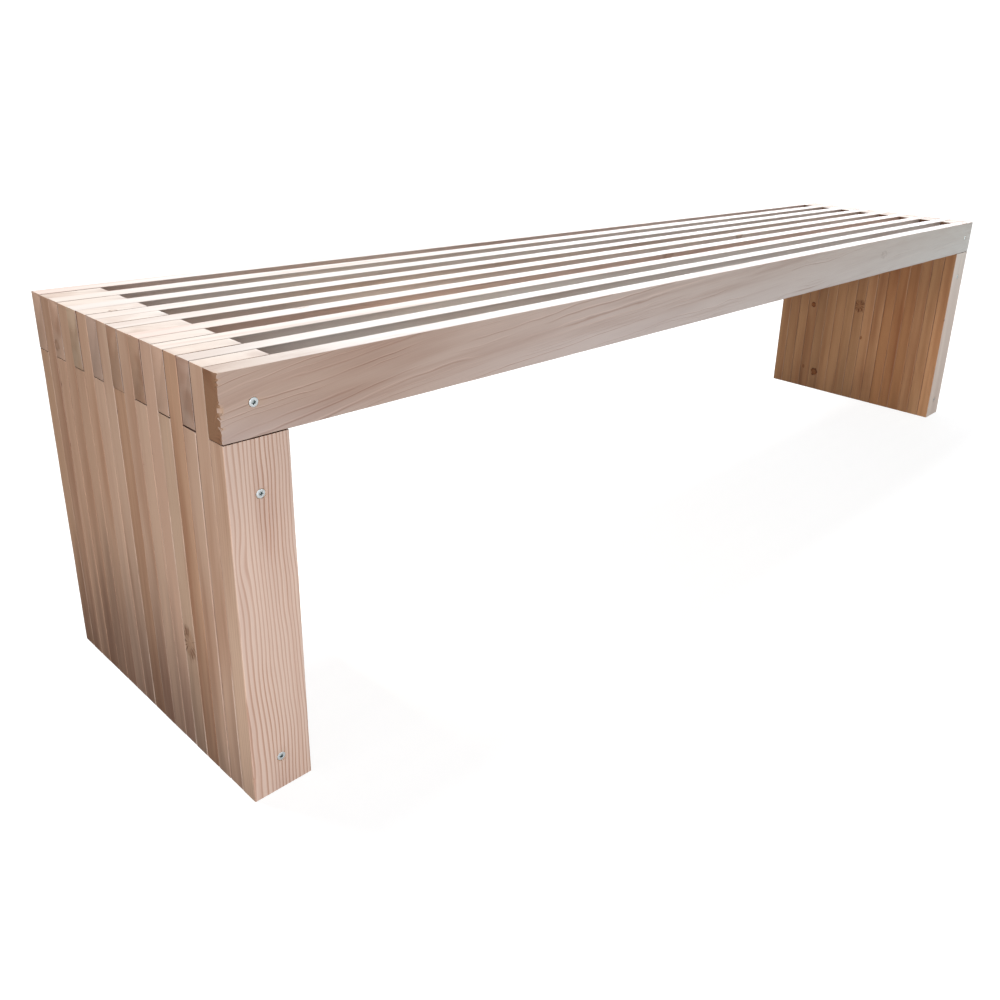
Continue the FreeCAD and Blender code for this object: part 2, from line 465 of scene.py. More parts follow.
class WoodProperties(bpy.types.PropertyGroup):
    """Colours of the timber, and the painted shade and light on it."""

    early_colour: FloatVectorProperty(
        name="Early wood", description="Pale wood that grows in spring",
        subtype="COLOR", size=4, default=(0.68, 0.465, 0.34, 1.0))
    late_colour: FloatVectorProperty(
        name="Late wood", description="Dark line that ends a year's ring",
        subtype="COLOR", size=4, default=(0.44, 0.23, 0.15, 1.0))
    stain_colour: FloatVectorProperty(
        name="Stain", description="Tint of the darker patches, as shares of the wood's own colour",
        subtype="COLOR", size=4, default=(0.80, 0.71, 0.66, 1.0))
    worn_colour: FloatVectorProperty(
        name="Worn edge", description="Pale fibres where a long edge was rubbed",
        subtype="COLOR", size=4, default=(0.86, 0.70, 0.57, 1.0))
    knot_tint: FloatVectorProperty(
        name="Knot", description="Heart of a cut branch, as shares of the wood's own colour",
        subtype="COLOR", size=4, default=(0.54, 0.29, 0.09, 1.0))
    rim_tint: FloatVectorProperty(
        name="Knot rim", description="Bark and cracks round a cut branch, as shares of the wood's own colour",
        subtype="COLOR", size=4, default=(0.28, 0.14, 0.07, 1.0))
    # Painted shade on the feet near the floor
    damp_tint: FloatVectorProperty(
        name="Damp foot", description="Tint of the ends that drew water, as shares of the wood's own colour",
        subtype="COLOR", size=4, default=(0.43, 0.40, 0.40, 1.0))
    # Sun-bleached tops with painted highlight, and painted sheen and bounce light on fronts
    bleached_colour: FloatVectorProperty(
        name="Bleached top", description="Faces that the sun bleached",
        subtype="COLOR", size=4, default=(0.87, 0.85, 0.83, 1.0))
    # Painted warm shade on the faces between the legs and under the seat
    sheltered_tint: FloatVectorProperty(
        name="Sheltered", description="Tint of the faces under the seat, as shares of the wood's own colour",
        subtype="COLOR", size=4, default=(0.97, 0.79, 0.56, 1.0))
    # Painted shade close under the seat
    gloom_tint: FloatVectorProperty(
        name="Gloom", description="Grime close under the seat, as shares of the wood's own colour",
        subtype="COLOR", size=4, default=(0.64, 0.61, 0.57, 1.0))
    torn_colour: FloatVectorProperty(
        name="Torn fibres", description="Splinters where the saw tore out",
        subtype="COLOR", size=4, default=(0.55, 0.38, 0.26, 1.0))
    # Also painted shade on the tall legs at the ends of the seat gaps
    joint_colour: FloatVectorProperty(
        name="Joint", description="Dirt in the joints between two planks",
        subtype="COLOR", size=4, default=(0.20, 0.10, 0.065, 1.0))


class ScrewProperties(bpy.types.PropertyGroup):
    """Sizes and colours of the screws."""

    zinc_colour: FloatVectorProperty(
        name="Zinc", description="Bright zinc plating",
        subtype="COLOR", size=4, default=(0.84, 0.90, 0.88, 1.0))
    dull_colour: FloatVectorProperty(
        name="Dull zinc", description="Blotches in the plating",
        subtype="COLOR", size=4, default=(0.58, 0.64, 0.62, 1.0))
    recess_colour: FloatVectorProperty(
        name="Recess", description="Shadowed plating inside the star recess",
        subtype="COLOR", size=4, default=(0.17, 0.23, 0.22, 1.0))
    dusty_colour: FloatVectorProperty(
        name="Dusty zinc", description="Sawdust and dirt over the plating",
        subtype="COLOR", size=4, default=(0.60, 0.55, 0.50, 1.0))
    crush_width: FloatProperty(
        name="Crushed rim", description="Wood pressed away round a screw head",
        default=0.0005, min=0.0, unit="LENGTH", subtype="DISTANCE")


class StageProperties(bpy.types.PropertyGroup):
    """Floor and light of the studio."""

    floor_size: FloatProperty(
        name="Floor size", description="Side of the floor",
        default=80.0, min=2.0, unit="LENGTH", subtype="DISTANCE")
    floor_colour: FloatVectorProperty(
        name="Floor", description="Pale floor as the camera sees it",
        subtype="COLOR", size=4, default=(0.25, 0.25, 0.25, 1.0))
    floor_glow: FloatProperty(
        name="Floor glow", description="Light from under the floor, which thins the bench's shade",
        default=0.9, min=0.0)
    bounce_colour: FloatVectorProperty(
        name="Floor bounce", description="Share of the light that the floor throws back on the bench",
        subtype="COLOR", size=4, default=(0.12, 0.115, 0.11, 1.0))
    backdrop_strength: FloatProperty(
        name="Backdrop", description="White behind the floor as the camera sees it", default=1.1, min=0.0)
    ambient_strength: FloatProperty(
        name="Ambient", description="Dim light from all round", default=0.1, min=0.0)
    top_strength: FloatProperty(
        name="Top light", description="Irradiance of the soft light overhead", default=4.3, min=0.0)
    front_power: FloatProperty(
        name="Front light", description="Power of the low soft box in front",
        default=55.0, min=0.0, unit="POWER")
    right_power: FloatProperty(
        name="Right light", description="Power of the soft box at the right",
        default=23.0, min=0.0, unit="POWER")
    back_power: FloatProperty(
        name="Back light", description="Power of the soft box behind",
        default=80.0, min=0.0, unit="POWER")
    side_power: FloatProperty(
        name="Side light", description="Power of the soft box at the left",
        default=6.6, min=0.0, unit="POWER")
    under_power: FloatProperty(
        name="Fill light", description="Power of the small light under the seat",
        default=1.5, min=0.0, unit="POWER")
    cool_colour: FloatVectorProperty(
        name="Cool light", description="Colour of the soft box behind",
        subtype="COLOR", size=3, default=(0.83, 0.87, 1.0))
    front_colour: FloatVectorProperty(
        name="Front light colour", description="Colour of the soft box in front",
        subtype="COLOR", size=3, default=(0.94, 0.90, 0.96))
    blue_colour: FloatVectorProperty(
        name="Blue light", description="Colour of the soft box at the right",
        subtype="COLOR", size=3, default=(0.72, 0.94, 1.0))
    warm_colour: FloatVectorProperty(
        name="Warm light", description="Colour of the soft box at the left",
        subtype="COLOR", size=3, default=(1.0, 0.99, 0.98))
    amber_colour: FloatVectorProperty(
        name="Amber light", description="Colour of the small light under the seat",
        subtype="COLOR", size=3, default=(1.0, 0.87, 0.66))


# Shader building

class Field:
    """What a node puts out: a value, vector, colour or shader. Sums on it add nodes to the same tree."""

    def __init__(self, nodes, socket):
        self.nodes = nodes
        self.socket = socket

    def __add__(self, other):
        return self.calc("ADD", other)

    def __sub__(self, other):
        return self.calc("SUBTRACT", other)

    def __rsub__(self, other):
        return self.nodes.calc("SUBTRACT", other, self)

    def __mul__(self, other):
        return self.calc("MULTIPLY", other)

    def __truediv__(self, other):
        return self.calc("DIVIDE", other)

    def __abs__(self):
        return self.calc("ABSOLUTE")

    def calc(self, operation, *others):
        """One sum that starts from this field."""
        return self.nodes.calc(operation, self, *others)

    def most(self, other):
        """The larger of two values."""
        return self.calc("MAXIMUM", other)

    def above(self, level):
        """One where the value is over a level, and nothing elsewhere."""
        return self.calc("GREATER_THAN", level)

    def below(self, level):
        """One where the value is under a level, and nothing elsewhere."""
        return self.calc("LESS_THAN", level)

    def fade(self, low, high, to_low=0.0, to_high=1.0):
        """Smooth step from one level to another."""
        inputs = {0: self, 1: low, 2: high, 3: to_low, 4: to_high}
        return self.nodes.field("MapRange", inputs, interpolation_type="SMOOTHSTEP")

    def fall(self, low, high):
        """Smooth step from one down to nothing."""
        return self.fade(low, high, 1.0, 0.0)

    def cloud(self, waves, detail=USUAL_DETAIL):
        """Noise about one half, with so many waves per metre along each axis of this vector."""
        return self.nodes.field("TexNoise", {"Vector": self * waves, "Scale": 1.0, "Detail": detail})

    def swing(self, waves, reach):
        """Noise about zero, as wide as a reach."""
        return (self.cloud(waves) - 0.5) * reach

    def parts(self):
        """The three values of a vector by their axes."""
        return self.nodes.fields(self.nodes.add("SeparateXYZ", {0: self}))


class Nodes:
    """Fills a shader tree with nodes, and gives what they put out as fields."""

    def __init__(self, tree):
        self.tree = tree

    def wire(self, socket, value):
        """Links a socket to a field, or sets it to a plain value."""
        if isinstance(value, Field):
            self.tree.links.new(value.socket, socket)
        else:
            socket.default_value = value

    def add(self, kind, inputs=None, **settings):
        """Adds a shader node, makes its settings and wires its inputs."""
        node = self.tree.nodes.new("ShaderNode" + kind)
        for name, value in settings.items():
            setattr(node, name, value)
        for key, value in (inputs or {}).items():
            self.wire(node.inputs[key], value)
        return node

    def field(self, kind, inputs=None, output=0, **settings):
        """One output of a new node."""
        return Field(self, self.add(kind, inputs, **settings).outputs[output])

    def fields(self, node):
        """All outputs of a node by their names."""
        return {socket.name: Field(self, socket) for socket in node.outputs}

    def calc(self, operation, *values):
        """One sum on plain values, or on vectors where the first one is a vector."""
        inputs = dict(enumerate(values))
        if not isinstance(values[0], Field) or values[0].socket.type != "VECTOR":
            return self.field("Math", inputs, operation=operation)
        output = "Value" if operation in ("LENGTH", "DOT_PRODUCT") else "Vector"
        return self.field("VectorMath", inputs, output, operation=operation)

    def mix(self, factor, first, second, blend="MIX"):
        """Mixes two colours."""
        inputs = {0: factor, 6: first, 7: second}
        return self.field("Mix", inputs, 2, data_type="RGBA", blend_type=blend)

    def tint(self, factor, base, colour):
        """Takes a share of a colour's red, green and blue where a mask says so."""
        return self.mix(factor, base, colour, "MULTIPLY")

    def normal(self):
        """The direction that the surface faces."""
        return self.field("NewGeometry", output="Normal")

    def bump(self, height, strength, depth):
        """The direction that the surface faces with a relief on it."""
        return self.field("Bump", {"Strength": strength, "Distance": depth, "Height": height})

    def attribute(self, name, output, kind="GEOMETRY"):
        """A named value that the mesh or the object carries."""
        return self.field("Attribute", None, output, attribute_name=name, attribute_type=kind)

    def object_values(self, name):
        """Three plain values that an object carries."""
        return list(self.attribute(name, "Vector", "OBJECT").parts().values())

    def group(self, build, inputs):
        """Places a node group, building it the first time, and gives its outputs."""
        tree = bpy.data.node_groups.get(build.__name__) or build(build.__name__)
        return self.fields(self.add("Group", inputs, node_tree=tree))

    def give(self, results):
        """Ends a node group with outputs of these names."""
        for name in results:
            self.tree.interface.new_socket(name, in_out="OUTPUT", socket_type="NodeSocketFloat")
        output = self.tree.nodes.new("NodeGroupOutput")
        for name, value in results.items():
            self.wire(output.inputs[name], value)
        return self.tree


def new_group(name, vectors, values=()):
    """A node group with named inputs; gives its nodes and what comes in."""
    tree = bpy.data.node_groups.new(name, "ShaderNodeTree")
    for kind, names in (("Vector", vectors), ("Float", values)):
        for socket_name in names:
            tree.interface.new_socket(socket_name, in_out="INPUT", socket_type="NodeSocket" + kind)
    nodes = Nodes(tree)
    return nodes, nodes.fields(tree.nodes.new("NodeGroupInput"))


def new_material(name):
    """A material with nodes; gives it, its nodes and its shader."""
    material = bpy.data.materials.new(name)
    material.use_nodes = True
    return material, Nodes(material.node_tree), material.node_tree.nodes["Principled BSDF"]


def growth_rings(name):
    """Group: yearly rings round the heart of the log, wavy, of uneven width and fading in places."""
    nodes, given = new_group(
        name, ("Grain",), ("Ring Width", "Waviness", "Unevenness", "Sharpness", "Pull"))
    grain = given["Grain"]
    uneven = given["Unevenness"]
    sharp = given["Sharpness"]
    radius = (grain * (1.0, 1.0, 0.0)).calc("LENGTH")
    sweep = grain.swing(RING_SWEEPS, given["Waviness"] * SWEEP_SHARE)
    bend = grain.swing(RING_BENDS, given["Waviness"])
    flutter = grain.swing(RING_FLUTTER, given["Ring Width"] * uneven)
    years = (radius + sweep + bend + flutter + given["Pull"]) / given["Ring Width"]
    spread = nodes.field(
        "TexNoise", {"W": years * SPREAD_WAVES, "Scale": 1.0, "Detail": COARSE_DETAIL}, noise_dimensions="1D")
    years = years + spread * uneven * SPREAD_SHARE
    season = years.calc("FRACT")
    late_from = sharp * LATE_FROM_SHARP_SHARE + LATE_FROM_SHARE
    late_to = sharp * LATE_TO_SHARP_SHARE + LATE_TO_SHARE
    late = season.fade(late_from, late_to) * season.fall(*LATE_STOP_SHARES)
    luck = nodes.field("TexWhiteNoise", {"W": years.calc("FLOOR")}, noise_dimensions="1D")
    strength = 1.0 - luck * uneven * LUCK_SHARE
    faded = grain.cloud(LINE_FADES).fall(*LINE_FADE_LEVELS) * uneven * LINE_FADE_SHARE
    shown = strength * (1.0 - faded)
    return nodes.give({
        "Late Wood": late * shown,
        "Pale Wood": season.fall(*PALE_STOP_SHARES) * shown})


def wood_fibres(name):
    """Group: fine pores, streaks and pale threads drawn out along the grain, and broad patches."""
    nodes, given = new_group(name, ("Grain",))
    grain = given["Grain"]
    return nodes.give({
        "Pores": grain.cloud(PORE_WAVES, FINE_DETAIL),
        "Streaks": grain.cloud(STREAK_WAVES, FINE_DETAIL).fade(*STREAK_LEVELS),
        "Threads": grain.cloud(THREAD_WAVES, COARSE_DETAIL).fade(*THREAD_LEVELS),
        "Patches": grain.cloud(PATCH_WAVES).fade(*PATCH_LEVELS)})


def branch_knot(name):
    """Group: a knot with part of a dark rim and cracks, and the pull that it has on the rings beside it."""
    nodes, given = new_group(name, ("Place", "Centre", "Along"), ("Radius", "Stretch"))
    along = given["Along"]
    local = (given["Place"] - given["Centre"]) / given["Radius"]
    seed = given["Centre"] * KNOT_SEEDS
    bearing = local.calc("NORMALIZE") + seed
    lengthwise = local.calc("DOT_PRODUCT", along)
    even = (local - along * (lengthwise * given["Stretch"])).calc("LENGTH")
    distance = even + (local + seed).swing(KNOT_WAVES, KNOT_SWING_SHARE)
    ripple = (distance * KNOT_RIPPLES).calc("SINE") * KNOT_RIPPLE_SHARE + (1.0 - KNOT_RIPPLE_SHARE)
    band = distance.fade(*RIM_RISE_SHARES) * distance.fall(*RIM_FALL_SHARES)
    ridge = abs(bearing.swing(CRACK_WAVES, 1.0))
    cracked = distance.fade(*CRACK_RISE_SHARES) * distance.fall(*CRACK_FALL_SHARES)
    far = even / PULL_SHARE
    return nodes.give({
        "Heart": distance.fall(*KNOT_HEART_SHARES) * ripple,
        "Rim": band * bearing.cloud(RIM_WAVES).fade(*RIM_LEVELS),
        "Cracks": ridge.fall(*CRACK_LEVELS) * cracked,
        "Pull": (far * far * -1.0).calc("EXPONENT") * given["Radius"]})


def sawn_end(name):
    """Group: where a face cuts across an axis, with the saw's marks on it."""
    nodes, given = new_group(name, ("Place", "Along"))
    facing = abs(nodes.normal().calc("DOT_PRODUCT", given["Along"]))
    return nodes.give({
        "End": facing.fade(*SAWN_FACING),
        "Saw Marks": given["Place"].cloud(SAW_WAVES)})


def worn_edges(name):
    """Group: pale wear along the long edges, which comes and goes."""
    nodes, given = new_group(name, ("Grain",), ("Edge", "Amount"))
    patchy = given["Grain"].cloud(WEAR_WAVES).fade(*WEAR_LEVELS)
    near = given["Edge"].fade(*WEAR_EDGE_SHARES)
    return nodes.give({"Wear": patchy * near * given["Amount"]})


def weathering(name):
    """Group: sun-bleached tops with painted highlight, painted sheen and bounce light on fronts, painted shade
    on the feet, between the legs and under the seat, and rings that get faint.
    """
    nodes, given = new_group(name, ("Grain", "Place"), ("Dampness",))
    facing = nodes.normal().parts()
    place = given["Place"].parts()
    seat = place["Z"].above(SLAT_LOW.z)
    foremost = seat * place["Y"].below(SLAT_HIGH.y)
    to_front = facing["Y"].fall(*FRONT_FACING)

    # Sun-bleached tops, partly painted highlight, and the backs of the slats in the gaps
    hindmost = place["Y"].above(CAD_BOX[1].y - JOINT_INSETS[0])
    inward = facing["Y"].fade(*UP_FACING) * seat * (1.0 - hindmost)
    between = abs(place["X"]).fade(*TOP_BLEACH_AND_HIGHLIGHT_REACHES, 1.0, TOP_BLEACH_AND_HIGHLIGHT_END_SHARE)
    top = facing["Z"].fade(*UP_FACING).most(inward) * between

    # Painted light on fronts, stronger lower down: painted sheen on the front slat from its right, and painted
    # bounce light in its lower left corner
    rightward = place["X"].fade(*FRONT_SHEEN_REACHES).most(1.0 - foremost)
    lower = place["Z"].fade(SLAT_LOW.z, SLAT_HIGH.z, 1.0, FRONT_LIGHT_UPPER_SHARE)
    leftmost = place["X"].fade(SLAT_LOW.x, CORNER_BOUNCE_TO, CORNER_BOUNCE_SHARE, 0.0)
    lowest = place["Z"].fall(SLAT_LOW.z, SLAT_LOW.z + CORNER_BOUNCE_HEIGHT)
    front = to_front * (rightward * lower).most(leftmost * foremost * lowest)

    # Painted shade on the feet near the floor
    shade_top = given["Dampness"]
    level = place["Z"] / FOOT_SHADE_RISE + given["Grain"].swing(FOOT_SHADE_WAVES, FOOT_SHADE_SWING_SHARE)
    foot_shade = level.fall(shade_top - FOOT_SHADE_FADE_SHARE, shade_top) * (1.0 - to_front)

    # Painted warm shade on faces between the legs, and painted shade that darkens them towards the seat and
    # darkens the fronts of the legs just under it
    inner = facing["X"] * place["X"].calc("SIGN")
    inner_shade = inner.calc("MINIMUM", facing["Z"]).fall(*INNER_SHADE_FACING)
    seat_shade = inner_shade * place["Z"].fade(SEAT_SHADE_FROM, SLAT_LOW.z)
    rising = place["Z"].fade(FRONT_SEAT_SHADE_FROM, SLAT_LOW.z, 0.0, FRONT_SEAT_SHADE_SHARE)
    return nodes.give({
        "Top": top,
        "Front": front,
        "Damp": foot_shade,
        "Sheltered": inner_shade,
        "Gloom": seat_shade.most(to_front * (1.0 - seat) * rising),
        "Faint": foremost * place["X"].fade(*FAINT_REACHES)})


def dark_joints(name):
    """Group: dirt on hidden faces where planks meet in the leg stacks, and painted shade on the tall legs at
    the ends of the gaps.
    """
    nodes, given = new_group(name, ("Place", "Grain"), ("Edge",))
    facing = abs(nodes.normal()).parts()
    place = given["Place"].parts()
    outward = abs(place["X"])

    # Joints between two layers
    inside = (CAD_BOX[1].y - abs(place["Y"])).fade(*reversed(JOINT_INSETS))
    rising = place["Z"].fade(JOINT_FADE_HEIGHT, SLAT_LOW.z, JOINT_LOW_SHARE, 1.0)
    layered = facing["Y"].fade(*JOINT_FACING) * inside * rising
    crest = place["Z"].above(SLAT_HIGH.z - JOINT_INSETS[1])
    patchy = given["Grain"].cloud(WEAR_WAVES).fade(*GRIME_LEVELS)
    topped = given["Edge"].fade(*GRIME_EDGE_SHARES, 0.0, JOINT_TOP_SHARE) * crest * patchy * inside

    # Joints between a slat and the short leg under it
    height = abs(place["Z"] - SLAT_LOW.z)
    seated = facing["Z"].fade(*JOINT_FACING) * height.fall(*SEAT_JOINT_REACHES)
    sided = place["X"].fade(SLAT_LOW.x, SLAT_HIGH.x, 1.0, JOINT_RIGHT_SHARE)
    joint = layered.most(topped).most(seated) * (outward.above(LEG_INSIDE) * sided)

    # Painted shade on the tall legs at the ends of the gaps
    gap_end_shade = facing["X"].fade(*JOINT_FACING, 0.0, GAP_END_SHADE_SHARE) * place["Z"].above(SLAT_LOW.z)
    gap_end_shade = gap_end_shade * outward.below(LEG_INSIDE + JOINT_INSETS[1])
    return nodes.give({"Joint": joint.most(gap_end_shade)})


def knots_of(nodes, place, along):
    """Both knots that a plank may have, as one heart, rim and pull."""
    measures = [nodes.object_values("knot_" + measure) for measure in KNOT_MEASURES]
    hearts = []
    rims = []
    pulls = []
    for index in range(KNOTS_PER_PLANK):
        radius, heart, rim, cracks, stretch = (values[index] for values in measures)
        knot = nodes.group(branch_knot, {
            "Place": place, "Centre": nodes.attribute(f"knot_{index + 1}", "Vector", "OBJECT"),
            "Along": along, "Radius": radius, "Stretch": stretch})
        hearts.append(knot["Heart"] * heart)
        rims.append((knot["Rim"] * rim).most(knot["Cracks"] * cracks))
        pulls.append(knot["Pull"])
    return nodes.calc("MAXIMUM", *hearts), nodes.calc("MAXIMUM", *rims), nodes.calc("ADD", *pulls)


def unit_vector(axis):
    """One along an axis of the frame."""
    return tuple(float(other == axis) for other in (X, Y, Z))


def wood_material(name, along, across):
    """Planed softwood whose rings, fibres, knots and sawn ends follow the plank's own log."""
    if name in bpy.data.materials:
        return bpy.data.materials[name]
    colours = bpy.context.scene.bench_wood
    material, nodes, shader = new_material(name)
    grain = nodes.attribute("grain", "Vector")
    edge = nodes.attribute("edge", "Fac")
    place = nodes.field("TexCoord", output="Object")
    ring_width, waviness, unevenness = nodes.object_values("cut")
    contrast, sharpness, wear_amount = nodes.object_values("lines")
    # Top bleaching with painted highlight, painted light on fronts and painted shade on the feet
    top_bleach_and_highlight, front_light, foot_shade_amount = nodes.object_values("weather")
    heart, rim, pull = knots_of(nodes, place, unit_vector(along))
    rings = nodes.group(growth_rings, {
        "Grain": grain, "Ring Width": ring_width, "Waviness": waviness, "Unevenness": unevenness,
        "Sharpness": sharpness, "Pull": pull})
    fibres = nodes.group(wood_fibres, {"Grain": grain})
    sawn = nodes.group(sawn_end, {"Place": place, "Along": unit_vector(along)})
    narrow = nodes.group(sawn_end, {"Place": place, "Along": unit_vector(across)})["End"]
    wear = nodes.group(worn_edges, {"Grain": grain, "Edge": edge, "Amount": wear_amount})["Wear"]
    # Bleaching, painted light and painted shade
    weather = nodes.group(weathering, {"Grain": grain, "Place": place, "Dampness": foot_shade_amount})
    joint = nodes.group(dark_joints, {"Place": place, "Grain": grain, "Edge": edge})["Joint"]

    # Rings and streaks, which are fainter on narrow faces and missing on sawn ends
    end = sawn["End"]
    side = 1.0 - end
    plain = weather["Faint"].fade(0.0, 1.0, 1.0, FAINT_SHARE)
    shown = narrow.fade(0.0, 1.0, 1.0, NARROW_LINE_SHARE) * side * plain
    line = rings["Late Wood"] * contrast * shown
    pale = rings["Pale Wood"] * contrast * shown
    dark = line.most(fibres["Streaks"] * side * plain * STREAK_SHARE)

    # Colour, from the rings outwards to weather, painted shade and light, knots, wear and joints
    base = nodes.mix(dark, colours.early_colour, colours.late_colour)
    base = nodes.tint(fibres["Patches"], base, colours.stain_colour)
    value = fibres["Pores"].fade(*PORE_LEVELS, *PORE_SHARES) * (fibres["Threads"] * THREAD_SHARE + 1.0)
    base = nodes.tint(1.0, base, value * (pale * sharpness * PALE_SHARE + 1.0))
    side_tone = nodes.attribute("tone", "Color", "OBJECT")
    end_tone = nodes.attribute("end_tone", "Color", "OBJECT")
    base = nodes.tint(1.0, base, nodes.mix(end, side_tone, end_tone))
    # Painted shade on the feet near the floor
    base = nodes.tint(weather["Damp"], base, colours.damp_tint)
    # Painted warm shade between the legs, and painted shade just under the seat
    base = nodes.tint(weather["Sheltered"], base, colours.sheltered_tint)
    base = nodes.tint(weather["Gloom"], base, colours.gloom_tint)
    # Sun bleaching and painted highlight on tops, painted sheen and bounce light on fronts
    bleach_and_light = (weather["Top"] * top_bleach_and_highlight).most(weather["Front"] * front_light)
    base = nodes.mix(bleach_and_light, base, nodes.mix(dark, colours.bleached_colour, base))
    base = nodes.tint(heart, base, colours.knot_tint)
    base = nodes.tint(rim, base, colours.rim_tint)
    base = nodes.mix(nodes.attribute("torn", "Fac"), base, colours.torn_colour)
    base = nodes.mix(wear * side, base, colours.worn_colour)
    # Dirt in the joints, and painted shade at the ends of the seat gaps
    nodes.wire(shader.inputs["Base Color"], nodes.mix(joint, base, colours.joint_colour))

    # Roughness and relief
    rough = fibres["Pores"].fade(*ROUGH_LEVELS, *WOOD_ROUGHNESS).most(end * END_ROUGHNESS)
    nodes.wire(shader.inputs["Roughness"], rough)
    shader.inputs["Specular IOR Level"].default_value = WOOD_SPECULAR
    relief = fibres["Pores"] * PORE_RELIEF + rings["Late Wood"] * sharpness * shown
    relief = relief - rim * RIM_RELIEF + sawn["Saw Marks"] * end * SAW_RELIEF
    nodes.wire(shader.inputs["Normal"], nodes.bump(relief, WOOD_BUMP, WOOD_BUMP_DEPTH))
    return material


def zinc_material():
    """Bright zinc plating, blotched and brushed, rougher in the recess and darkened there with painted shade.
    """
    name = "zinc_plating"
    if name in bpy.data.materials:
        return bpy.data.materials[name]
    colours = bpy.context.scene.bench_screws
    material, nodes, shader = new_material(name)
    place = nodes.field("TexCoord", output="Object")
    blotch = place.cloud(BLOTCH_WAVES, FINE_DETAIL)
    recess = nodes.attribute("recess", "Fac")
    base = nodes.mix(blotch.fade(*BLOTCH_LEVELS), colours.zinc_colour, colours.dull_colour)
    # Painted shade in the star recess
    base = nodes.mix(recess, base, colours.recess_colour)
    base = nodes.mix(nodes.attribute("dust", "Fac", "OBJECT"), base, colours.dusty_colour)
    nodes.wire(shader.inputs["Base Color"], base)
    shader.inputs["Metallic"].default_value = ZINC_METALLIC
    rough = blotch.fade(*DULL_LEVELS, *ZINC_ROUGHNESS) + recess * RECESS_ROUGHNESS
    nodes.wire(shader.inputs["Roughness"], rough)
    relief = nodes.bump(place.cloud(SCRATCH_WAVES), ZINC_BUMP, ZINC_BUMP_DEPTH)
    nodes.wire(shader.inputs["Normal"], relief)
    return material


# Timber

def timber_of(node):
    """The cut of a plank: as chosen, or drawn at random from its own seed."""
    if node in CHOSEN_TIMBER:
        return CHOSEN_TIMBER[node]
    draw = random.Random(node)
    turn = draw.uniform(0.0, math.tau)
    reach = draw.uniform(*HEART_REACHES)
    drawn = {measure: draw.uniform(*limits) for measure, limits in TIMBER_RANGES.items()}
    return Timber(heart_across=reach * math.cos(turn), heart_through=reach * math.sin(turn), **drawn)


def tone_of(node):
    """The tint of a plank, a little lighter or darker than its neighbours of the same tone."""
    group, _, number = node.rpartition("_")
    lift = random.Random(node + " tone").uniform(*TONE_LIFT_SHARES)
    return tuple(share * lift for share in TONE_SHARES[TONES[group][int(number) - 1]])


def end_tone_of(node):
    """The tint of a plank's sawn end."""
    if node in SLAT_NODES:
        return TONE_SHARES[SLAT_END_TONES[SLAT_NODES.index(node)]]
    return TONE_SHARES["end_leg"]


def wear_of(node):
    """How worn a plank's long edges are, from 0 to 1."""
    usual = WEAR_SHARES[node.split("_")[0]] * random.Random(node + " wear").random() ** 2
    return CHOSEN_WEAR_SHARES.get(node, usual)


def weather_of(plank):
    """How bleached and highlit a plank's top is, how much painted light lies on its front and how much painted
    shade on its foot, as shares of the most.
    """
    top_shares = SLAT_TOP_SHARES if plank.along == X else LEG_TOP_SHARES
    top = random.Random(plank.node + " weather").uniform(*top_shares)
    front = LEG_FRONT_LIGHT_SHARES.get(plank.node, 0.0)
    if plank.node in SLAT_NODES:
        front = SLAT_FRONT_LIGHT_SHARES[SLAT_NODES.index(plank.node)]
    foot_shade = max(0.0, FOOT_SHADE_MOST_SHARE - FOOT_SHADE_FALLOFF_SHARE * (plank.middle.y - FOOT_SHADE_CENTRE) ** 2)
    return top, front, foot_shade * FOOT_SHADE_SHARES[plank.node.split("_")[0]]


def screw_places(end):
    """Where the three screws of one end enter the front, as x and z."""
    low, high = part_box(f"{end}_front_screws")
    return [((low.x + high.x) / 2, height) for height in SCREW_HEIGHTS]


def tear_share(height):
    """How deeply the saw splintered the front slat's left edge at a height, from 0 to 1."""
    slow = noise.noise((height * TEAR_SLOW_WAVES, TEAR_SLOW_SEED, 0.0))
    quick = noise.noise((height * TEAR_QUICK_WAVES, TEAR_QUICK_SEED, 0.0))
    return min(1.0, max(0.0, TEAR_MEAN_SHARE + TEAR_SLOW_SHARE * slow + TEAR_QUICK_SHARE * quick))


